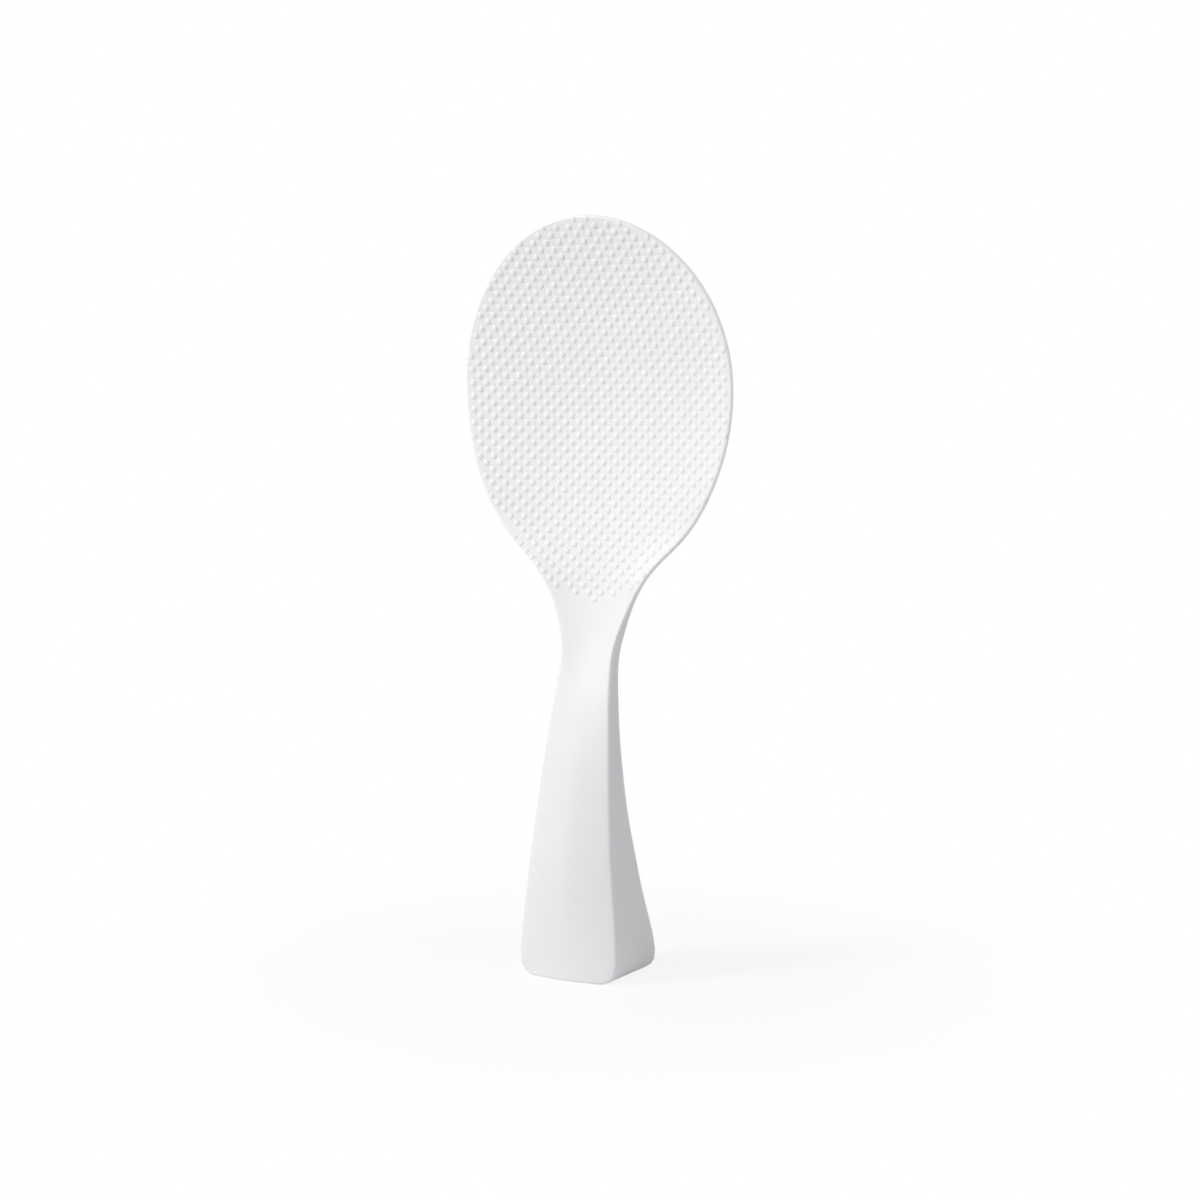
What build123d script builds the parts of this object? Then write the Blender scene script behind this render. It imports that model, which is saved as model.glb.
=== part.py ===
import os

from build123d import *

os.makedirs("parts", exist_ok=True)

# Rice paddle that stands on its foot, in millimetres
# X runs across the bowl, -Y is the side the bowl opens to, Z goes up from the table

# Heights, stacked from the table: flared handle, neck, lower and upper half of the bowl
handle_length = 66.0
neck_length = 17.0
bowl_lower_length = 72.5
bowl_upper_length = 44.5

# Widths seen from the front
foot_width = 30.6
handle_top_width = 17.8
neck_width = 15.2
bowl_width = 81.6
foot_corner_radius = 4.8

# Depths seen from the side
foot_depth = 25.8
neck_depth = 4.3
blade_thickness = 1.7
bowl_set_back = 8.2

# Crown of the handle's faces at the foot, and depth of the bowl from rim to middle
foot_crown = 2.0
bowl_sag = 5.2

# Hollow of the handle
wall = 2.4
foot_rim = 1.2
cap_ledge = 0.9
cap_seat_length = 4.0
hollow_corner_radius = 1.6
rib_thickness = 1.0
rib_spacing = 7.0

# Base cap
cap_floor = 2.0
cap_skirt = 1.2
cap_clearance = 0.1
snap_bead = 0.25
snap_height = 0.8

# Steel ballast: its depth as a share of the hollow's
ballast_depth_share = 0.68
ballast_height = 16.0
ballast_stand_off = 0.8
ballast_clearance = 0.15
ballast_edge = 0.8

overrun = 2.0

neck_height = handle_length + neck_length
widest_height = neck_height + bowl_lower_length


# Rounding of the rim and of the handle's long edges, as bevels: on the front, and finer on the back
rim_bevel_shares = (0.30, 0.20)
rim_bevels = [blade_thickness * share for share in rim_bevel_shares]

# Lower half of the bowl: its ellipse as a share of the length, up to an angle where the neck takes over
bowl_egg_share = 0.72
shoulder_angle = 56.5
# Places between neck and shoulder: width / neck width, rise above the neck / lower length of the bowl
neck_curve_shares = [(1.0, 0.0), (1.40, 0.179), (2.01, 0.290)]

# Height / handle length, front / half foot depth, depth / foot depth, front and back crown / foot crown
handle_shares = [
    (-0.060, -1.005, 1.008, 1.00, 1.00),
    (0.090, -0.985, 0.978, 1.00, 1.00),
    (0.242, -0.953, 0.855, 0.98, 0.95),
    (0.364, -0.915, 0.743, 0.90, 0.90),
    (0.485, -0.860, 0.647, 0.80, 0.80),
    (0.606, -0.779, 0.537, 0.70, 0.70),
    (0.727, -0.690, 0.442, 0.57, 0.57),
    (0.848, -0.589, 0.365, 0.45, 0.47),
]
# Height / neck length, front / bowl set back, depth / neck depth, crowns / foot crown, width / neck width
neck_shares = [
    (-0.118, -0.726, 1.76, 0.25, 0.42, 1.21),
    (0.353, -0.494, 1.48, 0.00, 0.40, 1.10),
    (0.824, -0.189, 1.13, -0.30, 0.45, 1.01),
    (1.294, 0.091, 0.89, -0.55, 0.55, 1.07),
]
# Height from the widest place / length of that half, front / set back, thickness / blade, sag / bowl sag,
# width / bowl width
bowl_shares = [
    (-0.821, 0.323, 1.65, 3.84, 0.26),
    (-0.710, 0.516, 1.35, 3.14, 0.38),
    (-0.600, 0.683, 1.18, 1.79, 0.55),
    (-0.434, 0.878, 1.06, 1.22, 0.80),
    (-0.324, 0.960, 1.02, 1.11, 0.89),
    (-0.214, 1.000, 1.00, 1.02, 0.96),
    (-0.107, 0.995, 1.00, 0.96, 0.99),
    (0.000, 0.933, 1.00, 0.90, 1.00),
    (0.190, 0.790, 1.00, 0.85, 1.00),
    (0.371, 0.591, 1.00, 0.80, 1.00),
    (0.551, 0.339, 1.02, 0.75, 1.00),
    (0.730, 0.023, 1.03, 0.70, 1.00),
    (0.910, -0.360, 1.06, 0.67, 1.00),
    (1.090, -0.780, 1.09, 0.64, 1.00),
]


def beyond(half_width):
    """How much more a crown falls where a slice runs past the outline."""
    return ((half_width + overrun) / half_width) ** 2


# Level slices of the paddle: height, half width, front, back, front crown, back crown
slices = []
for height, front, depth, front_crown, back_crown in handle_shares:
    half_width = (foot_width + (handle_top_width - foot_width) * height) / 2
    crown = foot_crown * beyond(half_width)
    front *= foot_depth / 2
    back = front + foot_depth * depth
    slices.append(
        (
            handle_length * height,
            half_width + overrun,
            front,
            back,
            crown * front_crown,
            crown * back_crown,
        )
    )
for height, front, depth, front_crown, back_crown, width in neck_shares:
    half_width = neck_width / 2 * width
    crown = foot_crown * beyond(half_width)
    front *= bowl_set_back
    back = front + neck_depth * depth
    slices.append(
        (
            handle_length + neck_length * height,
            half_width + overrun,
            front,
            back,
            crown * front_crown,
            crown * back_crown,
        )
    )
for height, front, thickness, sag, width in bowl_shares:
    reach = bowl_lower_length if height < 0 else bowl_upper_length
    half_width = bowl_width / 2 * width + overrun
    fall = bowl_sag * sag * (2 * half_width / bowl_width) ** 2
    front *= bowl_set_back
    back = front + blade_thickness * thickness
    slices.append((widest_height + reach * height, half_width, front, back, -fall, fall))

# Mouth of the hollow in the foot's flat, less the crown of the faces beside it
recess_width = foot_width - 2 * (foot_corner_radius + foot_rim)
recess_depth = foot_depth - 2 * (max(rim_bevels) + foot_rim + foot_crown * (recess_width / foot_width) ** 2)
hollow_width = recess_width - 2 * cap_ledge
hollow_depth = recess_depth - 2 * cap_ledge
seat_top = cap_floor + cap_seat_length

# The ballast stands on the cap, against the front of its skirt
ballast_width = hollow_width - 2 * (cap_clearance + cap_skirt + ballast_clearance)
ballast_depth = hollow_depth * ballast_depth_share
ballast_front = -(hollow_depth / 2 - cap_clearance - cap_skirt - ballast_clearance)
ballast_middle = ballast_front + ballast_depth / 2
ballast_base = cap_floor + ballast_stand_off
pocket_height = ballast_base + ballast_height + 2 * ballast_clearance - seat_top

# Hollow of the handle, as the moulding tool's core: level slices from the mouth up into the neck
hollow_slices = [(0, hollow_width, -hollow_depth / 2, hollow_depth / 2)]
hollow_slices.append((seat_top, hollow_width, -hollow_depth / 2, hollow_depth / 2))
top_height, *_ = handle_shares[-1]
for height, front, depth, front_crown, back_crown in handle_shares[2:]:
    outer_width = foot_width + (handle_top_width - foot_width) * height
    width = hollow_width + (outer_width - 2 * wall - hollow_width) * height / top_height
    crown = foot_crown * (width / outer_width) ** 2
    hollow_slices.append(
        (
            handle_length * height,
            width,
            foot_depth / 2 * front + crown * front_crown + wall,
            foot_depth / 2 * front + foot_depth * depth - crown * back_crown - wall,
        )
    )

with BuildPart() as handle_core:
    for height, width, front, back in hollow_slices:
        with BuildSketch(Plane.XY.offset(height)):
            with Locations((0, (front + back) / 2)):
                RectangleRounded(width, back - front, hollow_corner_radius * (back - front) / hollow_depth)
    loft(ruled=True)
    # Two webs from front to back stiffen the handle and stop the ballast
    with BuildSketch(Plane.XY.offset(seat_top)):
        with GridLocations(rib_spacing, 0, 2, 1):
            Rectangle(rib_thickness, foot_depth)
    extrude(amount=handle_length, mode=Mode.SUBTRACT)
    # Two ribs on each side wall locate it, as high as the ballast
    with BuildSketch(Plane.XY.offset(seat_top)):
        with Locations((0, ballast_middle)):
            with GridLocations(0, rib_spacing, 1, 2):
                Rectangle(foot_width, rib_thickness)
    extrude(amount=pocket_height, mode=Mode.SUBTRACT)
    with BuildSketch(Plane.XY.offset(seat_top)):
        with Locations((0, ballast_middle)):
            Rectangle(ballast_width + 2 * ballast_clearance, ballast_depth + 2 * ballast_clearance)
    extrude(amount=pocket_height)

# Paddle body: a lofted ribbon with the side view's curves, cut out by the front view's outline
with BuildPart() as paddle_body:
    for height, half_width, front, back, front_crown, back_crown in slices:
        with BuildSketch(Plane.XY.offset(height)):
            with BuildLine():
                front_arc = Bezier(
                    (-half_width, front + front_crown),
                    (0, front - front_crown),
                    (half_width, front + front_crown),
                )
                back_arc = Bezier(
                    (half_width, back - back_crown),
                    (0, back + back_crown),
                    (-half_width, back - back_crown),
                )
                Line(front_arc @ 1, back_arc @ 0)
                Line(back_arc @ 1, front_arc @ 0)
            make_face()
    loft()
    with BuildSketch(Plane.XZ.offset(-foot_depth)) as front_view:
        with BuildLine():
            base = Line((0, 0), (foot_width / 2, 0))
            side = Line(base @ 1, (handle_top_width / 2, handle_length))
            lower_egg = EllipticalCenterArc(
                (0, widest_height),
                bowl_width / 2,
                bowl_lower_length * bowl_egg_share,
                start_angle=-shoulder_angle,
                arc_size=shoulder_angle,
            )
            EllipticalCenterArc((0, widest_height), bowl_width / 2, bowl_upper_length)
            neck_points = [
                (neck_width / 2 * width, neck_height + bowl_lower_length * rise)
                for width, rise in neck_curve_shares
            ]
            Spline(side @ 1, *neck_points, lower_egg @ 0, tangents=(side % 1, lower_egg % 0))
            mirror(about=Plane.YZ)
        make_face()
        corners = front_view.vertices().group_by(Axis.Y)[0].filter_by(lambda corner: abs(corner.X) > foot_rim)
        fillet(corners, foot_corner_radius)
    extrude(amount=2 * foot_depth, mode=Mode.INTERSECT)
    for side, bevel in zip((0, -1), rim_bevels):
        broad_faces = paddle_body.faces().sort_by(SortBy.AREA)[-2:]
        chamfer(broad_faces.sort_by(Axis.Y)[side].edges(), bevel)
    add(handle_core.part, mode=Mode.SUBTRACT)
    with BuildSketch():
        RectangleRounded(recess_width, recess_depth, hollow_corner_radius + cap_ledge)
    extrude(amount=cap_floor, mode=Mode.SUBTRACT)
    # Groove that the cap's bead snaps into
    with BuildSketch(Plane.XY.offset(cap_floor + (cap_seat_length - snap_height) / 2 - cap_clearance)):
        RectangleRounded(
            hollow_width + 2 * snap_bead,
            hollow_depth + 2 * snap_bead,
            hollow_corner_radius + snap_bead,
        )
    extrude(amount=snap_height + 2 * cap_clearance, mode=Mode.SUBTRACT)

# Base cap: floor flush with the foot, skirt with a snap bead, and a cross that carries the ballast
skirt_width = hollow_width - 2 * cap_clearance
skirt_depth = hollow_depth - 2 * cap_clearance
skirt_radius = hollow_corner_radius - cap_clearance
with BuildPart() as base_cap:
    with BuildSketch():
        RectangleRounded(
            recess_width - 2 * cap_clearance,
            recess_depth - 2 * cap_clearance,
            hollow_corner_radius + cap_ledge - cap_clearance,
        )
    extrude(amount=cap_floor)
    with BuildSketch(Plane.XY.offset(cap_floor)):
        RectangleRounded(skirt_width, skirt_depth, skirt_radius)
    extrude(amount=cap_seat_length - cap_clearance)
    with BuildSketch(Plane.XY.offset(cap_floor + (cap_seat_length - snap_height) / 2)):
        RectangleRounded(skirt_width + 2 * snap_bead, skirt_depth + 2 * snap_bead, skirt_radius + snap_bead)
    extrude(amount=snap_height)
    with BuildSketch(Plane.XY.offset(cap_floor)):
        Rectangle(skirt_width - 2 * cap_skirt, skirt_depth - 2 * cap_skirt)
    extrude(amount=cap_seat_length, mode=Mode.SUBTRACT)
    with BuildSketch(Plane.XY.offset(cap_floor)):
        Rectangle(skirt_width - cap_skirt, rib_thickness)
        Rectangle(rib_thickness, skirt_depth - cap_skirt)
    extrude(amount=ballast_stand_off)

# Ballast: a sawn and tumbled block of steel
with BuildPart() as ballast_weight:
    with BuildSketch(Plane.XY.offset(ballast_base)):
        with Locations((0, ballast_middle)):
            Rectangle(ballast_width, ballast_depth)
    extrude(amount=ballast_height)
    chamfer(ballast_weight.edges(), ballast_edge)

for name, piece in (
    ("paddle_body", paddle_body),
    ("base_cap", base_cap),
    ("ballast_weight", ballast_weight),
):
    piece.part.label = name
    export_step(piece.part, "parts/" + name + ".step")
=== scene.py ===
# %% [markdown]
# # A rice paddle that stands on its own foot
#
# The real object is a white polypropylene moulding: a thin egg-shaped bowl covered with small round bumps that
# keep rice from sticking, a narrow neck, and a handle that flares into a wide foot. A cap closes the foot and a
# steel block inside it keeps the paddle upright.
#
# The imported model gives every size. This script dresses it: it builds the moulding again with its bumps, its
# soft edges and its slightly crowned sides, and gives each piece its finish. Lengths are metres, Z is up, and the
# bowl opens towards -Y.

import math

import bpy
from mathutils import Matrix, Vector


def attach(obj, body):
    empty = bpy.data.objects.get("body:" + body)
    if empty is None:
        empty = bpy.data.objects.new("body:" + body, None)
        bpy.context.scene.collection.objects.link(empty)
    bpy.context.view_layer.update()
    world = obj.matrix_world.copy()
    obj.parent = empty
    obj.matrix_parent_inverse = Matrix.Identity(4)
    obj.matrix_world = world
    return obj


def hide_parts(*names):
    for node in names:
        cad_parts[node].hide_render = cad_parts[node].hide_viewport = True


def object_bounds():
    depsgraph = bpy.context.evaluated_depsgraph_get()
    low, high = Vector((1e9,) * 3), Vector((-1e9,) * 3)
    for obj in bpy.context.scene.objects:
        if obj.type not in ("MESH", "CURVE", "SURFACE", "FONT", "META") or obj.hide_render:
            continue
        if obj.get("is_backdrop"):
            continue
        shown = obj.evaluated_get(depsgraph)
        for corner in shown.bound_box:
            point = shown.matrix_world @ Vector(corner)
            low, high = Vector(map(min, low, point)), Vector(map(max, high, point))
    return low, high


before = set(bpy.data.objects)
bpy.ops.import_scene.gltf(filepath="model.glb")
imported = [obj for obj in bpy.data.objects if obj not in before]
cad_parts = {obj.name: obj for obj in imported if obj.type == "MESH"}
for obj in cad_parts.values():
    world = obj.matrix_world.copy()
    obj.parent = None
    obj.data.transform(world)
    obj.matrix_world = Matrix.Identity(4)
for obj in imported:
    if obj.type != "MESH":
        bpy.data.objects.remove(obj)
cad_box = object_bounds()
MM = 0.001
print("pieces in the packed model:", sorted(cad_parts))

# %% [markdown]
# ## Camera
#
# The photograph looks down a little at the paddle from its front right. The place, the turn and the lens below
# come from fitting a perspective camera to the paddle's corners and to its rows of bumps. The camera comes first,
# because every later choice is judged through it.

# %% Camera
camera_data = bpy.data.cameras.new("camera")
camera_data.sensor_width = 36
camera_data.lens = 64.74
camera = bpy.data.objects.new("camera", camera_data)
camera.location = (0.28874, -0.49024, 0.14180)
camera.rotation_euler = (math.radians(85.75), 0, math.radians(30.18))
bpy.context.collection.objects.link(camera)
bpy.context.scene.camera = camera
print("camera", [round(value, 3) for value in camera.location])

# %% [markdown]
# ## The side view and the front view as smooth curves
#
# A moulding like this one is drawn by two views. The side view gives, at each height, how far the front and the
# back stand out and how much they are crowned or dished. The front view gives the half width. A few measured
# points for each are joined by one smooth cubic curve, because light shows every kink in a satin white surface.


# %% A smooth curve through a few points
def smooth_curve(points, first_slope=None, last_slope=None):
    """A cubic curve through (place, value) points, curvature continuous, with free or given end slopes."""
    places = [place for place, _ in points]
    values = [value for _, value in points]
    last = len(points) - 1
    gaps = [places[i + 1] - places[i] for i in range(last)]
    rises = [(values[i + 1] - values[i]) / gaps[i] for i in range(last)]
    low, middle, high, right = [0.0] * (last + 1), [1.0] * (last + 1), [0.0] * (last + 1), [0.0] * (last + 1)
    for i in range(1, last):
        low[i], middle[i], high[i] = gaps[i - 1], 2 * (gaps[i - 1] + gaps[i]), gaps[i]
        right[i] = 6 * (rises[i] - rises[i - 1])
    if first_slope is not None:
        middle[0], high[0], right[0] = 2 * gaps[0], gaps[0], 6 * (rises[0] - first_slope)
    if last_slope is not None:
        low[last], middle[last], right[last] = gaps[-1], 2 * gaps[-1], 6 * (last_slope - rises[-1])
    for i in range(1, last + 1):
        share = low[i] / middle[i - 1]
        middle[i] -= share * high[i - 1]
        right[i] -= share * right[i - 1]
    bends = [0.0] * (last + 1)
    bends[last] = right[last] / middle[last]
    for i in range(last - 1, -1, -1):
        bends[i] = (right[i] - high[i] * bends[i + 1]) / middle[i]

    def value(place):
        i = 0
        while i < last - 1 and place > places[i + 1]:
            i += 1
        before, after = place - places[i], places[i + 1] - place
        gap = gaps[i]
        return (
            bends[i] * after**3 / (6 * gap)
            + bends[i + 1] * before**3 / (6 * gap)
            + (values[i] / gap - bends[i] * gap / 6) * after
            + (values[i + 1] / gap - bends[i + 1] * gap / 6) * before
        )

    return value


# %% Side view: height, front, back, front crown and back crown (per square millimetre, in thousandths)
side_view = [
    (-3.96, -12.70, 12.46, 8.13, 8.13),
    (0.60, -12.71, 12.49, 8.62, 8.62),
    (5.94, -12.70, 12.46, 9.22, 9.22),
    (11.00, -12.52, 11.38, 9.80, 9.60),
    (15.97, -12.29, 9.77, 10.36, 10.05),
    (24.02, -11.80, 7.37, 10.70, 10.70),
    (32.01, -11.09, 5.60, 10.76, 10.76),
    (40.00, -10.05, 3.81, 10.73, 10.73),
    (47.98, -8.90, 2.50, 10.06, 10.06),
    (55.97, -7.60, 1.82, 9.23, 9.64),
    (63.99, -5.95, 1.61, 5.91, 9.93),
    (72.00, -4.05, 2.31, 0.00, 11.45),
    (80.01, -1.55, 3.31, -10.18, 15.28),
    (88.00, 0.75, 4.57, -16.63, 16.63),
    (95.98, 2.65, 5.45, -12.00, 12.00),
    (104.03, 4.23, 6.53, -9.81, 9.81),
    (112.00, 5.60, 7.61, -5.59, 5.59),
    (124.03, 7.20, 9.00, -3.81, 3.81),
    (139.99, 8.20, 9.90, -3.19, 3.19),
    (155.50, 7.65, 9.35, -2.81, 2.81),
    (172.01, 4.85, 6.55, -2.50, 2.50),
    (187.99, 0.19, 1.94, -2.19, 2.19),
    (204.00, -6.40, -4.54, -2.00, 2.00),
]
front_middle = smooth_curve([(row[0], row[1]) for row in side_view])
back_middle = smooth_curve([(row[0], row[2]) for row in side_view])
front_crown = smooth_curve([(row[0], row[3] / 1000) for row in side_view])
back_crown = smooth_curve([(row[0], row[4] / 1000) for row in side_view])
bowl_middle = 150
print("wall of the bowl at its middle:", round(back_middle(bowl_middle) - front_middle(bowl_middle), 2), "mm")

# %% Front view: the outline's half width up to the widest place, an egg whose two halves are ellipses
foot_half_width = 15.0
corner_radius = 4.8
bowl_half_width = 40.8
widest_height = 155.5
lower_egg = 52.2
upper_egg = 44.5
shoulder_height = 112.0
shoulder_reach = (widest_height - shoulder_height) / lower_egg
shoulder_half_width = bowl_half_width * math.sqrt(1 - shoulder_reach**2)
shoulder_slope = bowl_half_width**2 * (widest_height - shoulder_height) / (lower_egg**2 * shoulder_half_width)
foot_slope = -0.02
neck_height = 84.0
stem_half_width = smooth_curve(
    [
        (0.0, foot_half_width),
        (14.0, 14.2),
        (34.0, 12.1),
        (54.0, 10.13),
        (70.0, 8.5),
        (80.0, 7.55),
        (neck_height, 7.42),
        (88.0, 7.85),
        (92.0, 9.05),
        (96.0, 10.65),
        (104.0, 15.25),
        (shoulder_height, shoulder_half_width),
    ],
    foot_slope,
    shoulder_slope,
)


def outline(height):
    """Half width of the front view at a height, without the round corners of the foot."""
    if height < shoulder_height:
        return stem_half_width(height)
    reach = lower_egg if height < widest_height else upper_egg
    return bowl_half_width * math.sqrt(max(0.0, 1 - ((widest_height - height) / reach) ** 2))


print("neck", round(2 * outline(neck_height), 2), "mm wide, bowl", round(2 * outline(widest_height), 2), "mm wide")

# %% [markdown]
# ## The soft crest down the handle's front
#
# The handle's front isn't evenly round: two nearly flat faces meet in a soft crest down the middle, which starts
# under the neck and melts away towards the foot. The light falls from the left, so that crest parts a bright half
# from a calmer one. A share of the crown is drawn as a rounded V and the rest as a plain parabola, and the crest
# is lifted a little before the plain crown. The back has the parabola only.

# %% Front and back surfaces
crest_softness = 1.3
crest_top = 73
crest_fade_from = 62
crest_full_from = 60
crest_lift_from = 40
crest_starts_at = 5
v_share_at_foot = 0.25
v_share_gain = 0.4
crest_lift = 0.5


def ease(value, low, high):
    """0 below one place, 1 above another, and a soft step between them."""
    share = max(0.0, min(1.0, (value - low) / (high - low)))
    return share * share * (3 - 2 * share)


def front_surface(x, z):
    if z > crest_top:
        return front_middle(z) + front_crown(z) * x * x
    half_width = outline(z)
    rise = front_crown(z) * half_width**2
    across, soft = x / half_width, crest_softness / half_width
    rounded_v = (math.hypot(across, soft) - soft) / (math.hypot(1, soft) - soft)
    fade = 1 - ease(z, crest_fade_from, crest_top)
    v_share = (v_share_at_foot + v_share_gain * ease(z, crest_starts_at, crest_full_from)) * fade
    shape = v_share * rounded_v + (1 - v_share) * across**2
    lift = 1 + crest_lift * ease(z, crest_starts_at, crest_lift_from) * fade
    return front_middle(z) + rise - lift * rise * (1 - shape)


def back_surface(x, z):
    return back_middle(z) - back_crown(z) * x * x


mid_handle = 50
crest_stands = front_middle(mid_handle) - front_surface(0, mid_handle)
print("crest stands", round(crest_stands, 2), "mm before the plain curve at mid handle")

# %% [markdown]
# ## The sheet behind both faces
#
# The front and the back of the paddle share one outline, so they can share one sheet of four-sided faces. A grid
# is added as the start, and its points are then moved so that its border runs along the outline and a ring of
# even, 2 mm wide faces follows that border all the way round. That ring is what lets the edges be rounded cleanly
# later. On the bowl the border stops a little short of the outline, to leave room for the sloping rim. Rows run
# across the paddle; near the tip they bend upwards, and near the foot they round its corners.


# %% Border points of one half, from the middle of the foot to the middle of the tip
half_columns = 13
ring_width = 2.0
rim_width = 0.7
rim_from, rim_full_from = 88, 106
near = 0.05


def corner_of_foot(angle):
    """A point on a foot corner and its outward direction; angle 0 is straight down, 90 is sideways."""
    turn = math.radians(angle)
    across, down = math.sin(turn), math.cos(turn)
    half_width = outline(corner_radius)
    return (
        half_width - corner_radius + corner_radius * across,
        corner_radius - corner_radius * down,
        across,
        -down,
    )


def side_of_stem(height):
    """A point on the side of the outline below the widest place, and its outward direction."""
    slope = (outline(height + near) - outline(height - near)) / (2 * near)
    length = math.hypot(1, slope)
    return outline(height), height, 1 / length, -slope / length


def upper_edge(angle):
    """A point on the upper ellipse and its outward direction; angle 0 is the widest place, 90 the tip."""
    turn = math.radians(angle)
    across, up = math.cos(turn) / bowl_half_width, math.sin(turn) / upper_egg
    length = math.hypot(across, up)
    return (
        bowl_half_width * math.cos(turn),
        widest_height + upper_egg * math.sin(turn),
        across / length,
        up / length,
    )


def rim_fall(height):
    """How far the faces stop short of the outline, where the bowl's rim slopes off."""
    return rim_width * ease(height, rim_from, rim_full_from)


def inset(point, width=0.0):
    """A point inside the outline: on the border of the sheet, or further in by a width."""
    x, z, across, up = point
    width += rim_fall(z)
    return x - width * across, z - width * up


handle_heights = [5.6 + 3.0 * i for i in range(21)]
bowl_heights = [68.0 + 2.5 * i for i in range(35)]
top_rows = 12
print("rows on the handle:", len(handle_heights), "on neck and bowl:", len(bowl_heights) + top_rows)

# %% Rows of points for one half: each row is a list from the middle of the sheet to its border
half_flat = outline(corner_radius) - corner_radius
foot_row = []
for i in range(half_columns):
    x = (half_flat + corner_radius * math.sin(math.radians(22.5))) * i / (half_columns - 1)
    drop = max(0.0, x - half_flat)
    foot_row.append((x, corner_radius - math.sqrt(corner_radius**2 - drop**2)))
foot_row.append(corner_of_foot(45)[:2])
corner_power = 6
end_x, end_z = inset(corner_of_foot(45), ring_width)
next_row = []
for i in range(half_columns):
    share = i / (half_columns - 1)
    next_row.append((end_x * share, ring_width + (end_z - ring_width) * share**corner_power))
next_row.append(corner_of_foot(67.5)[:2])
rows = [foot_row, next_row]
for height in handle_heights + bowl_heights:
    edge = side_of_stem(height)
    end_x, end_z = inset(edge, ring_width)
    row = []
    for i in range(half_columns):
        share = i / (half_columns - 1)
        row.append((end_x * share, height + (end_z - height) * share**2))
    row.append(inset(edge))
    rows.append(row)
top_middle = inset(upper_edge(90), ring_width)[1]
for j in range(top_rows):
    edge = upper_edge(45 * j / (top_rows + 1))
    end_x, end_z = inset(upper_edge(45 * j / top_rows), ring_width)
    middle = widest_height + (top_middle - widest_height) * j / top_rows
    row = []
    for i in range(half_columns):
        share = i / (half_columns - 1)
        bend = (1 - math.sqrt(1 - share**2 / 2)) / (1 - math.sqrt(0.5))
        row.append((end_x * share, middle + (end_z - middle) * bend))
    row.append(inset(edge))
    rows.append(row)
row = [inset(upper_edge(90 - 45 * i / (half_columns - 1)), ring_width) for i in range(half_columns)]
row.append(inset(upper_edge(45 * top_rows / (top_rows + 1))))
rows.append(row)
rows.append([inset(upper_edge(90 - 45 * i / half_columns)) for i in range(half_columns + 1)])
print("sheet:", 2 * half_columns, "by", len(rows) - 1, "faces")


# %% [markdown]
# ## Front, back and the wall between them
#
# The grid is made twice. One copy takes the front surface, the other the back surface. Joined in one object, the
# two borders are bridged, which makes the side wall of the handle and the thin rim of the bowl in one go. Five
# loops across that wall are then pushed outwards. Each has a place through the wall, from -1 at the front to 1 at
# the back, and a share of the swell: the handle's sides are crowned evenly, while the bowl's rim slopes off at both
# faces and ends in a thin edge near the front.


# %% One sheet on a surface
def deselect():
    if bpy.context.mode != "OBJECT":
        bpy.ops.object.mode_set(mode="OBJECT")
    bpy.ops.object.select_all(action="DESELECT")


def make_sheet(name, surface):
    deselect()
    bpy.ops.mesh.primitive_grid_add(x_subdivisions=2 * half_columns, y_subdivisions=len(rows) - 1, size=1)
    sheet = bpy.context.object
    sheet.name = name
    for vertex in sheet.data.vertices:
        column = round((vertex.co.x + 0.5) * 2 * half_columns) - half_columns
        level = round((vertex.co.y + 0.5) * (len(rows) - 1))
        x, z = rows[level][abs(column)]
        x = math.copysign(x, column)
        vertex.co = (x * MM, surface(x, z) * MM, z * MM)
    return sheet


front_sheet = make_sheet("front_sheet", front_surface)
back_sheet = make_sheet("back_sheet", back_surface)
deselect()
back_sheet.select_set(True)
bpy.context.view_layer.objects.active = back_sheet
bpy.ops.object.mode_set(mode="EDIT")
bpy.ops.mesh.select_all(action="SELECT")
bpy.ops.mesh.flip_normals()
deselect()
print("front faces look towards", [round(value, 1) for value in front_sheet.data.polygons[0].normal])

# %% Join the sheets and bridge their borders
wall_loops = 5
deselect()
back_sheet.select_set(True)
front_sheet.select_set(True)
bpy.context.view_layer.objects.active = front_sheet
bpy.ops.object.join()
body = front_sheet
body.name = "paddle_moulding"
body.data.name = "paddle_moulding"
sheet_points = len(body.data.vertices)
bpy.ops.object.mode_set(mode="EDIT")
bpy.ops.mesh.select_mode(type="EDGE")
bpy.ops.mesh.select_all(action="DESELECT")
bpy.ops.mesh.select_non_manifold()
bpy.ops.mesh.bridge_edge_loops(number_cuts=wall_loops, interpolation="LINEAR")
bpy.ops.object.mode_set(mode="OBJECT")
print("points on the wall:", len(body.data.vertices) - sheet_points)


# %% Place the wall's loops: crowned sides on the handle, a thin rim on the bowl
side_loops = [(-0.8, 0.43), (-0.5, 0.82), (0.0, 1.0), (0.5, 0.82), (0.8, 0.43)]
rim_loops = [(-0.87, 0.37), (-0.72, 0.72), (-0.6, 0.96), (-0.48, 1.0), (0.25, 0.5)]
side_crown = 1.05
crown_from, crown_full_from = 0.5, 6


def outward_at(x, z):
    """The outline's outward direction at a point of the wall."""
    if z > widest_height:
        across, up = x / bowl_half_width**2, (z - widest_height) / upper_egg**2
    else:
        slope = (outline(z + near) - outline(z - near)) / (2 * near)
        across, up = math.copysign(1, x), -slope
    length = math.hypot(across, up)
    return across / length, up / length


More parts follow.
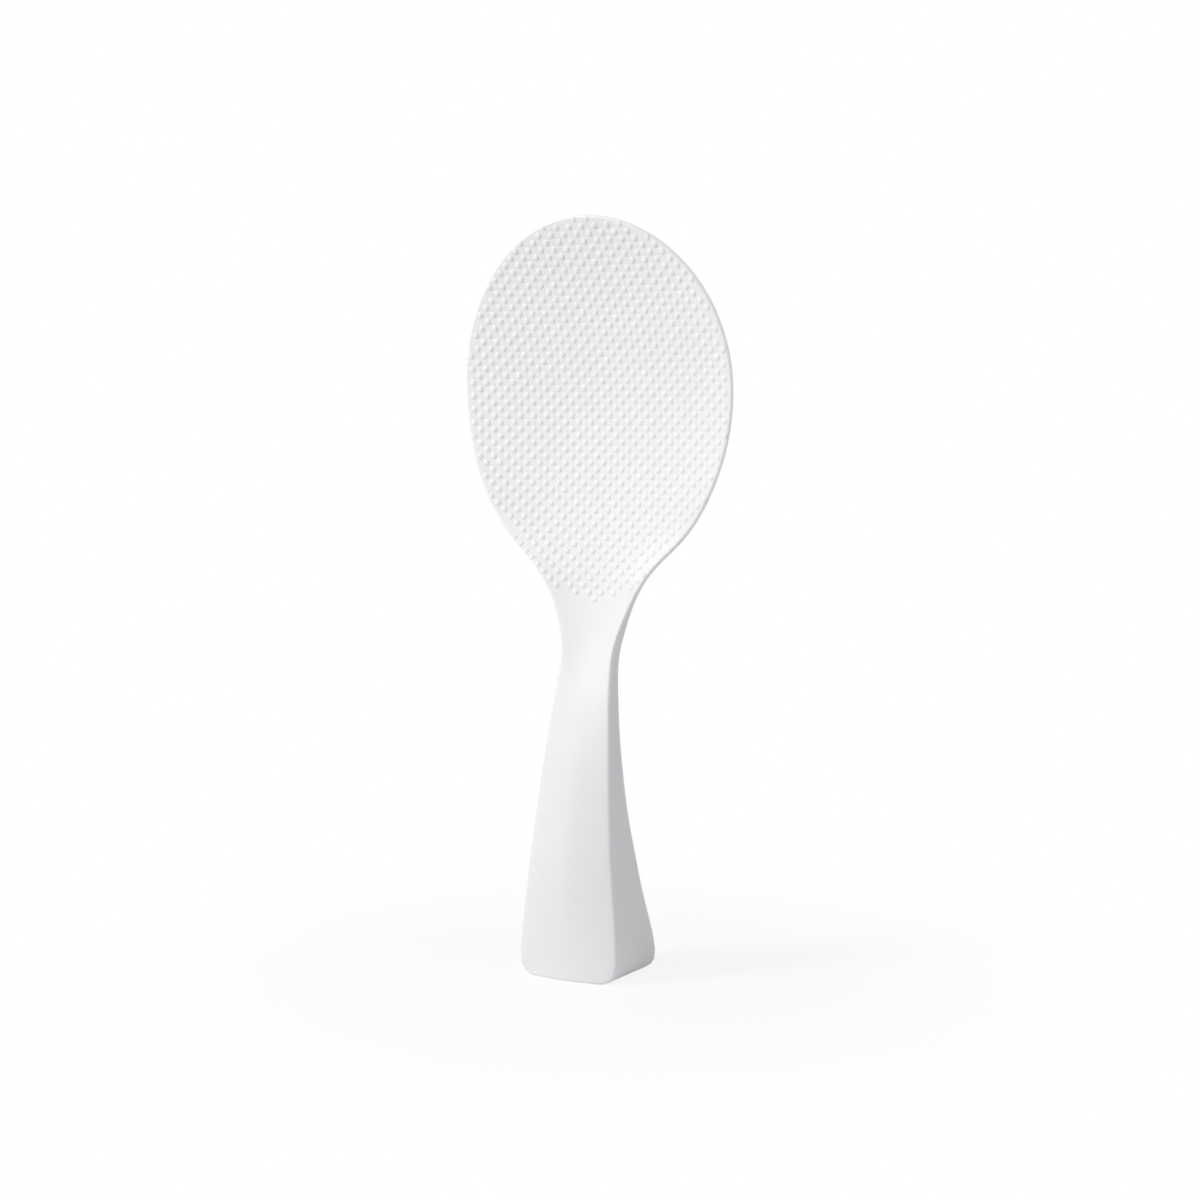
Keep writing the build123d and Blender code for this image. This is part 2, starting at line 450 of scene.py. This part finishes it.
for vertex in body.data.vertices[sheet_points:]:
    x, y, z = (value / MM for value in vertex.co)
    front, back = front_surface(x, z), back_surface(x, z)
    loop = round((y - front) / (back - front) * (wall_loops + 1)) - 1
    on_rim = ease(z, rim_from, rim_full_from)
    lean, share = (side + on_rim * (rim - side) for side, rim in zip(side_loops[loop], rim_loops[loop]))
    swell = share * (rim_fall(z) + side_crown * (1 - on_rim) * ease(z, crown_from, crown_full_from))
    across, up = outward_at(x, z)
    y = (front + back + lean * (back - front)) / 2
    vertex.co = ((x + swell * across) * MM, y * MM, (z + swell * up) * MM)
print("the handle's sides swell by", side_crown, "mm, the rim slopes off by", rim_width, "mm")

# %% [markdown]
# ## Rounding the edges
#
# A moulding has no sharp edge. The two border loops get a bevel weight from the radius that the photograph shows:
# 0.65 mm along the handle's edges, less round the foot's flat, and a trace where the bowl's rim slopes off. One
# Bevel modifier that reads those weights then rounds everything at once, in four small steps.


# %% Bevel weights: an edge is rounded where a face of the wall meets a face of a sheet
rim_radius = 0.2
handle_radius_gain = 0.45
foot_radius_loss = 0.15


def edge_radius(height):
    """How round the edge between a face and the wall is: soft on the handle, fine on the rim and at the table."""
    on_handle = 1 - ease(height, 30, 95)
    at_table = 1 - ease(height, 0, 6)
    return rim_radius + handle_radius_gain * on_handle - foot_radius_loss * at_table


widest_bevel = 1.0
weights = body.data.attributes.new("bevel_weight_edge", "FLOAT", "EDGE")
neighbours = {}
for polygon in body.data.polygons:
    on_wall = any(i >= sheet_points for i in polygon.vertices)
    for key in polygon.edge_keys:
        neighbours.setdefault(key, []).append(on_wall)
rounded = 0
for edge in body.data.edges:
    if sorted(neighbours[tuple(sorted(edge.vertices))]) == [False, True]:
        start, end = (body.data.vertices[i].co for i in edge.vertices)
        middle = (start + end) / 2
        weights.data[edge.index].value = edge_radius(middle.z / MM) / widest_bevel
        rounded += 1
print("edges to round:", rounded)

# %% Bevel modifier
deselect()
body.select_set(True)
bpy.context.view_layer.objects.active = body
bevel = body.modifiers.new("rim", "BEVEL")
bevel.limit_method = "WEIGHT"
bevel.width = widest_bevel * MM
bevel.segments = 4
bevel.use_clamp_overlap = False
bpy.ops.object.modifier_apply(modifier="rim")
print("faces now:", len(body.data.polygons))

# %% [markdown]
# ## One bump
#
# Each bump is a low round button, 2 mm across and 0.25 mm high. One is modelled: a circle of ten points is
# extruded up four times and drawn in, steeply at first and then over a flat top, and the last ring is merged to
# one point. Ten sides are enough at this size, and a bump that is repeated some 1700 times has to stay light. Its
# lowest ring lies below the surface, so that it can be united with the moulding.

# %% Model one bump
bump_height = 0.25
bump_foot = (0.98, -0.55)
bump_rings = [(1.0, -0.05), (0.8, 0.12), (0.48, 0.217)]
bump_sides = 10
deselect()
bpy.ops.mesh.primitive_circle_add(
    vertices=bump_sides, radius=bump_foot[0] * MM, fill_type="NGON", location=(0, 0, bump_foot[1] * MM)
)
bump = bpy.context.object
bump.name = "bump"
bpy.ops.object.transform_apply(location=True, rotation=True, scale=True)
bpy.ops.object.mode_set(mode="EDIT")
bpy.ops.mesh.select_all(action="SELECT")
ring_radius, ring_height = bump_foot
for radius, height in bump_rings:
    bpy.ops.mesh.extrude_region_move(TRANSFORM_OT_translate={"value": (0, 0, (height - ring_height) * MM)})
    bpy.ops.transform.resize(value=(radius / ring_radius, radius / ring_radius, 1))
    ring_radius, ring_height = radius, height
bpy.ops.mesh.extrude_region_move(TRANSFORM_OT_translate={"value": (0, 0, (bump_height - ring_height) * MM)})
bpy.ops.mesh.merge(type="CENTER")
bpy.ops.mesh.select_all(action="SELECT")
bpy.ops.mesh.normals_make_consistent(inside=False)
deselect()
print("one bump:", len(bump.data.polygons), "faces, top at", round(max(v.co.z for v in bump.data.vertices) / MM, 2))

# %% [markdown]
# ## Where the bumps stand
#
# They stand in rows, every second row shifted by half a step, which leaves diamonds of plain surface between
# them. The steps were measured on the photograph. A place is used when it keeps clear of the rim and lies above
# the shallow point in which the field ends at the neck. Bumps next to the rim are made a little smaller, which
# keeps them from standing over the edge. The back carries the same field, with a wider plain border.

# %% List the places of the bumps
step_across = 3.827
step_up = 1.807
middle_row = 151.83
rim_clearance = {"front": 1.0, "back": 2.0}
small_margin = 0.35
field_point = 99.35
field_slope = 0.31
edge_points = [upper_edge(angle) for angle in range(0, 91)]
edge_points += [side_of_stem(90 + 0.5 * i) for i in range(131)]


def inside_by(x, z):
    """How far a point lies inside the outline, as far as the nearest point of the border."""
    return min(math.hypot(abs(x) - point[0], z - point[1]) for point in edge_points)


places = []
for row_number in range(-27, 30):
    z = middle_row - step_up * row_number
    first = -21 if (row_number % 2 == 0) else -20
    for k in range(first, 22, 2):
        x = k * step_across / 2
        if abs(x) < outline(z) and z >= field_point + field_slope * abs(x):
            places.append((x, z, inside_by(x, z)))
print("places on the bowl:", len(places))

# %% Copy the bump to every place on both faces
from mathutils import Matrix, Vector

copies = []
for surface, side, face in ((front_surface, -1, "front"), (back_surface, 1, "back")):
    for x, z, clearance in places:
        if clearance < rim_clearance[face]:
            continue
        slope_x = (surface(x + near, z) - surface(x - near, z)) / (2 * near)
        slope_z = (surface(x, z + near) - surface(x, z - near)) / (2 * near)
        away = Vector((-slope_x, 1, -slope_z)).normalized() * side
        turn = away.to_track_quat("Z", "Y").to_matrix().to_4x4()
        copy = bpy.data.objects.new("bump_copy", bump.data.copy())
        size = min(1.0, clearance - small_margin)
        copy.matrix_world = Matrix.Translation(Vector((x, surface(x, z), z)) * MM) @ turn @ Matrix.Scale(size, 4)
        bpy.context.collection.objects.link(copy)
        copies.append(copy)
deselect()
for copy in copies:
    copy.select_set(True)
bpy.context.view_layer.objects.active = copies[0]
bpy.ops.object.join()
bumps = bpy.context.object
bumps.name = "bumps"
bpy.ops.object.transform_apply(location=True, rotation=True, scale=True)
bpy.data.objects.remove(bump)
print("bumps in all:", len(copies), "faces:", len(bumps.data.polygons))

# %% [markdown]
# ## Hollow of the handle
#
# So thick a foot would sink if it were solid, so the real handle is a shell, open at the bottom. A cutter for
# each part of the hollow is drawn as a plain block, pushed up level by level, and taken away with a Boolean
# modifier: the seat of the cap, its throat, the pocket for the steel block, and three tapering chambers with two
# thin webs left between them.


# %% Cutters
def make_cutter(name, levels):
    """A block through level rectangles: height, left, right, front, back."""
    deselect()
    height, left, right, front, back = levels[0]
    bpy.ops.mesh.primitive_plane_add(size=1, location=(0, 0, 0))
    cutter = bpy.context.object
    cutter.name = name
    bpy.ops.object.mode_set(mode="EDIT")
    bpy.ops.mesh.select_all(action="SELECT")
    bpy.ops.transform.resize(value=((right - left) * MM, (back - front) * MM, 1))
    bpy.ops.transform.translate(value=((left + right) / 2 * MM, (front + back) / 2 * MM, height * MM))
    for above in levels[1:]:
        new_height, new_left, new_right, new_front, new_back = above
        shift = (
            (new_left + new_right - left - right) / 2 * MM,
            (new_front + new_back - front - back) / 2 * MM,
            (new_height - height) * MM,
        )
        bpy.ops.mesh.extrude_region_move(TRANSFORM_OT_translate={"value": shift})
        bpy.ops.transform.resize(
            value=((new_right - new_left) / (right - left), (new_back - new_front) / (back - front), 1),
            center_override=((new_left + new_right) / 2 * MM, (new_front + new_back) / 2 * MM, new_height * MM),
        )
        height, left, right, front, back = above
    bpy.ops.mesh.select_all(action="SELECT")
    bpy.ops.mesh.normals_make_consistent(inside=False)
    deselect()
    return cutter


seat_sides = (-9.3, 9.3, -10.45, 10.45)
throat_sides = (-8.4, 8.4, -9.55, 9.55)
pocket_sides = (-7.1, 7.1, -8.25, 5.05)
seat = make_cutter("seat", [(-1, *seat_sides), (2, *seat_sides)])
throat = make_cutter("throat", [(1, *throat_sides), (6, *throat_sides)])
pocket = make_cutter("pocket", [(5, *pocket_sides), (19.1, *pocket_sides)])
print("cutters at the foot:", seat.name, throat.name, pocket.name)

# %% Chambers: height, half width, front and back of the hollow, cut in three by two webs 1 mm thick
web_inside, web_outside = 3.0, 4.0
core = [
    (5.5, 8.40, -9.55, 9.55),
    (15.97, 9.24, -9.01, 6.51),
    (24.02, 9.33, -8.47, 4.03),
    (32.01, 9.20, -7.78, 2.29),
    (40.00, 8.84, -6.81, 0.57),
    (47.98, 8.27, -5.81, -0.59),
    (55.97, 7.47, -4.68, -1.12),
]
left, middle, right = [], [], []
for height, half, front, back in core:
    left.append((height, -half, -web_outside, front, back))
    middle.append((height, -web_inside, web_inside, front, back))
    right.append((height, web_outside, half, front, back))
chambers = [
    make_cutter("left_chamber", left),
    make_cutter("middle_chamber", middle),
    make_cutter("right_chamber", right),
]
print("chambers:", len(chambers))

# %% Unite the bumps with the moulding, then cut the hollow
deselect()
body.select_set(True)
bpy.context.view_layer.objects.active = body
steps = [(bumps, "UNION")]
steps += [(cutter, "DIFFERENCE") for cutter in [seat, throat, pocket] + chambers]
for tool, action in steps:
    cut = body.modifiers.new("cut", "BOOLEAN")
    cut.object = tool
    cut.operation = action
    cut.solver = "MANIFOLD"
    before = len(body.data.polygons)
    bpy.ops.object.modifier_apply(modifier="cut")
    print(action.lower(), tool.name, before, "to", len(body.data.polygons), "faces")
    bpy.data.objects.remove(tool)

# %% Smooth shading with crisp feet under the bumps
deselect()
body.select_set(True)
bpy.context.view_layer.objects.active = body
crisp_from = 26
bpy.ops.object.shade_smooth_by_angle(angle=math.radians(crisp_from))
triangles = sum(len(polygon.vertices) - 2 for polygon in body.data.polygons)
print("moulding:", triangles, "triangles")

# %% [markdown]
# ## Satin white polypropylene
#
# The moulding is a soft, slightly cool white with a broad highlight. Fine spark texture breaks the gloss, a slow
# waviness in the wall bends it, and the roughness changes a little from place to place. All of it reads Object
# coordinates, so the pattern stays on the piece from every side.


# %% Helpers for the finishes: a fresh material, a noise, a stretch of its values and a relief
def new_material(name):
    """A material with its nodes, its links and the shader that all finishes start from."""
    material = bpy.data.materials.new(name)
    material.use_nodes = True
    nodes, links = material.node_tree.nodes, material.node_tree.links
    return material, nodes, links, nodes["Principled BSDF"]


def add_noise(nodes, links, scale, detail, stretch=(1, 1, 1)):
    """Noise on Object coordinates."""
    place = nodes.new("ShaderNodeTexCoord")
    mapping = nodes.new("ShaderNodeMapping")
    mapping.inputs["Scale"].default_value = stretch
    noise = nodes.new("ShaderNodeTexNoise")
    noise.inputs["Scale"].default_value = scale
    noise.inputs["Detail"].default_value = detail
    links.new(place.outputs["Object"], mapping.inputs["Vector"])
    links.new(mapping.outputs["Vector"], noise.inputs["Vector"])
    return noise


noise_low, noise_high = 0.3, 0.7


def spread(nodes, links, noise, low, high):
    """The noise's middle range stretched between two values."""
    spreader = nodes.new("ShaderNodeMapRange")
    spreader.inputs["From Min"].default_value = noise_low
    spreader.inputs["From Max"].default_value = noise_high
    spreader.inputs["To Min"].default_value = low
    spreader.inputs["To Max"].default_value = high
    links.new(noise.outputs["Fac"], spreader.inputs["Value"])
    return spreader


def add_relief(nodes, links, noise, distance, strength, after=None):
    """A bump node that turns noise into relief, on top of an earlier relief where one is given."""
    relief = nodes.new("ShaderNodeBump")
    relief.inputs["Strength"].default_value = strength
    relief.inputs["Distance"].default_value = distance
    links.new(noise.outputs["Fac"], relief.inputs["Height"])
    if after is not None:
        links.new(after.outputs["Normal"], relief.inputs["Normal"])
    return relief


def add_clouds(nodes, links, shader, noise, dark, dark_from, bright, bright_from):
    """The shader's colour drifts between a dark and a bright shade with the noise."""
    ramp = nodes.new("ShaderNodeValToRGB")
    darker, brighter = ramp.color_ramp.elements
    darker.position, darker.color = dark_from, (*dark, 1)
    brighter.position, brighter.color = bright_from, (*bright, 1)
    links.new(noise.outputs["Fac"], ramp.inputs["Fac"])
    links.new(ramp.outputs["Color"], shader.inputs["Base Color"])


print("helpers ready")

# %% Finish of a moulded plastic, and that of the moulding
cloud_scale, gloss_scale, wave_scale = 28, 90, 60
wave_depth, wave_strength, texture_strength = 0.00006, 0.35, 0.5
smoother, rougher = 0.05, 0.06
plastic_ior = 1.49


def moulded_plastic(name, bright, dark, roughness, texture_size, texture_depth):
    """Plastic from a spark-textured mould: cloudy colour and gloss, a slow wave and a fine texture."""
    material, nodes, links, shader = new_material(name)
    add_clouds(nodes, links, shader, add_noise(nodes, links, cloud_scale, 3), dark, 0.35, bright, 0.65)
    gloss = add_noise(nodes, links, gloss_scale, 4)
    spreader = spread(nodes, links, gloss, roughness - smoother, roughness + rougher)
    links.new(spreader.outputs["Result"], shader.inputs["Roughness"])
    wave = add_relief(nodes, links, add_noise(nodes, links, wave_scale, 1), wave_depth, wave_strength)
    grain = add_noise(nodes, links, 1 / texture_size, 2)
    texture = add_relief(nodes, links, grain, texture_depth, texture_strength, wave)
    links.new(texture.outputs["Normal"], shader.inputs["Normal"])
    shader.inputs["IOR"].default_value = plastic_ior
    return material


body_white, body_shade = (0.86, 0.86, 0.87), (0.845, 0.845, 0.857)
body_plastic = moulded_plastic("body_plastic", body_white, body_shade, 0.50, 0.35 * MM, 0.000012)
body.data.materials.clear()
body.data.materials.append(body_plastic)
print("finish on", body.name)

# %% [markdown]
# ## Cap and steel block
#
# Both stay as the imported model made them. The cap is the same plastic from a coarser mould: a little greyer,
# rougher and with a stronger spark texture. The block is a sawn length of bar, tumbled: a bright grey metal with
# fine saw lines across it and a cloudy tarnish.

# %% Finishes of the cap and of the steel block
cap_white, cap_shade = (0.80, 0.80, 0.81), (0.77, 0.77, 0.785)
cap_plastic = moulded_plastic("cap_plastic", cap_white, cap_shade, 0.55, 0.5 * MM, 0.00004)
steel, nodes, links, shader = new_material("ballast_steel")
tarnished, bare = (0.36, 0.35, 0.34), (0.58, 0.58, 0.57)
add_clouds(nodes, links, shader, add_noise(nodes, links, 160, 5), tarnished, 0.3, bare, 0.7)
shader.inputs["Metallic"].default_value = 1.0
along_the_saw = (0.05, 0.05, 3)
saw_lines = add_noise(nodes, links, 900, 3, along_the_saw)
steel_spread = spread(nodes, links, saw_lines, 0.28, 0.46)
links.new(steel_spread.outputs["Result"], shader.inputs["Roughness"])
relief = add_relief(nodes, links, saw_lines, 0.00005, 0.6)
links.new(relief.outputs["Normal"], shader.inputs["Normal"])
for name, material in (("base_cap", cap_plastic), ("ballast_weight", steel)):
    for material_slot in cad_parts[name].material_slots:
        material_slot.material = material
    print("finish on", name)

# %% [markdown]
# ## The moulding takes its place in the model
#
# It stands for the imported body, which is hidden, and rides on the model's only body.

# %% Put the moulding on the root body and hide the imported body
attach(body, "root")
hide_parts("paddle_body")

# %% [markdown]
# ## Floor, background and light
#
# The photograph is a product shot on pure white, lit softly from the upper left. The white comes from colour and
# not from more light: camera rays, and the rays that gloss or clear matter sends on, meet a plain white world, while
# the rays that light the paddle meet a dimmer, slightly cool one. The floor does the same, but keeps a little of its
# own shading close to the foot, so a faint shadow ties the paddle to it. Its share of white grows with the distance
# from the foot, so no edge of the floor shows.


# %% Rays that are to see plain white
def white_rays(nodes, links):
    """1 for rays from the camera and for those that gloss or clear matter sends on, 0 for rays that only light."""
    rays = nodes.new("ShaderNodeLightPath")
    strongest = rays.outputs["Is Camera Ray"]
    for kind in ("Is Glossy Ray", "Is Transmission Ray"):
        either = nodes.new("ShaderNodeMath")
        either.operation = "MAXIMUM"
        links.new(strongest, either.inputs[0])
        links.new(rays.outputs[kind], either.inputs[1])
        strongest = either.outputs["Value"]
    return strongest


# %% Floor
floor_size, floor_gap = 40, 0.05 * MM
floor_grey = 0.9
shadow_radius, white_radius = 0.03, 0.16
least_white = 0.86
deselect()
bpy.ops.mesh.primitive_plane_add(size=floor_size, location=(0, 0, -floor_gap))
floor = bpy.context.object
floor.name = "floor"
floor_material, nodes, links, shader = new_material("floor_white")
shader.inputs["Base Color"].default_value = (floor_grey, floor_grey, floor_grey, 1)
shader.inputs["Roughness"].default_value = 0.9
white = nodes.new("ShaderNodeEmission")
white.inputs["Color"].default_value = (1, 1, 1, 1)
mix = nodes.new("ShaderNodeMixShader")
place = nodes.new("ShaderNodeTexCoord")
distance = nodes.new("ShaderNodeVectorMath")
distance.operation = "LENGTH"
fade = nodes.new("ShaderNodeMapRange")
fade.interpolation_type = "SMOOTHSTEP"
fade.inputs["From Min"].default_value = shadow_radius
fade.inputs["From Max"].default_value = white_radius
fade.inputs["To Min"].default_value = least_white
fade.inputs["To Max"].default_value = 1.0
share = nodes.new("ShaderNodeMath")
share.operation = "MULTIPLY"
links.new(place.outputs["Object"], distance.inputs[0])
links.new(distance.outputs["Value"], fade.inputs["Value"])
links.new(white_rays(nodes, links), share.inputs[0])
links.new(fade.outputs["Result"], share.inputs[1])
links.new(share.outputs["Value"], mix.inputs["Fac"])
links.new(shader.outputs["BSDF"], mix.inputs[1])
links.new(white.outputs["Emission"], mix.inputs[2])
links.new(mix.outputs["Shader"], nodes["Material Output"].inputs["Surface"])
floor.data.materials.append(floor_material)
floor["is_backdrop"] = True
print("floor plain white from", white_radius, "m outwards")

# %% [markdown]
# ## World and lamps
#
# One fairly small lamp high to the left models the bumps and the crest. A weak lamp on the right lifts the rim and
# the shaded side a little, and the world fills in the rest, so that the right side stays a calm grey.

# %% World
lighting_colour, lighting_strength = (0.965, 0.96, 1, 1), 0.35
world = bpy.data.worlds.new("world")
bpy.context.scene.world = world
world.use_nodes = True
nodes, links = world.node_tree.nodes, world.node_tree.links
surroundings = nodes["Background"]
surroundings.inputs["Color"].default_value = lighting_colour
surroundings.inputs["Strength"].default_value = lighting_strength
backdrop = nodes.new("ShaderNodeBackground")
backdrop.inputs["Color"].default_value = (1, 1, 1, 1)
backdrop.inputs["Strength"].default_value = 1.0
mix = nodes.new("ShaderNodeMixShader")
links.new(white_rays(nodes, links), mix.inputs["Fac"])
links.new(surroundings.outputs["Background"], mix.inputs[1])
links.new(backdrop.outputs["Background"], mix.inputs[2])
links.new(mix.outputs["Shader"], nodes["World Output"].inputs["Surface"])
print("world lights the paddle with strength", lighting_strength)

# %% Lamps
paddle_middle = Vector((0, 0, 0.1))


def add_lamp(name, place, size, power):
    """A round lamp that points at the middle of the paddle."""
    data = bpy.data.lights.new(name, "AREA")
    data.shape = "DISK"
    data.size = size
    data.energy = power
    lamp = bpy.data.objects.new(name, data)
    lamp.location = place
    lamp.rotation_euler = (Vector(place) - paddle_middle).to_track_quat("Z", "Y").to_euler()
    bpy.context.collection.objects.link(lamp)
    print("lamp", name, power, "W")


add_lamp("key", (-0.42, -0.48, 0.55), 0.25, 4.05)
add_lamp("right", (0.6, -0.15, 0.45), 0.3, 0.5)
bpy.context.scene.view_settings.view_transform = "Standard"

# %% [markdown]
# ## Sizes
#
# The box of the dressed model and that of the imported one are both measured and printed, in millimetres. The
# dressed model must stay inside the imported one's box and nearly fill it.

# %% Print the sizes
dressed_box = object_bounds()
boxes = {"cad": cad_box, "visual": dressed_box}
sizes = {name: [[float(value) for value in corner] for corner in box] for name, box in boxes.items()}
for name, corners in sizes.items():
    print(name, [[round(value / MM, 2) for value in corner] for corner in corners])
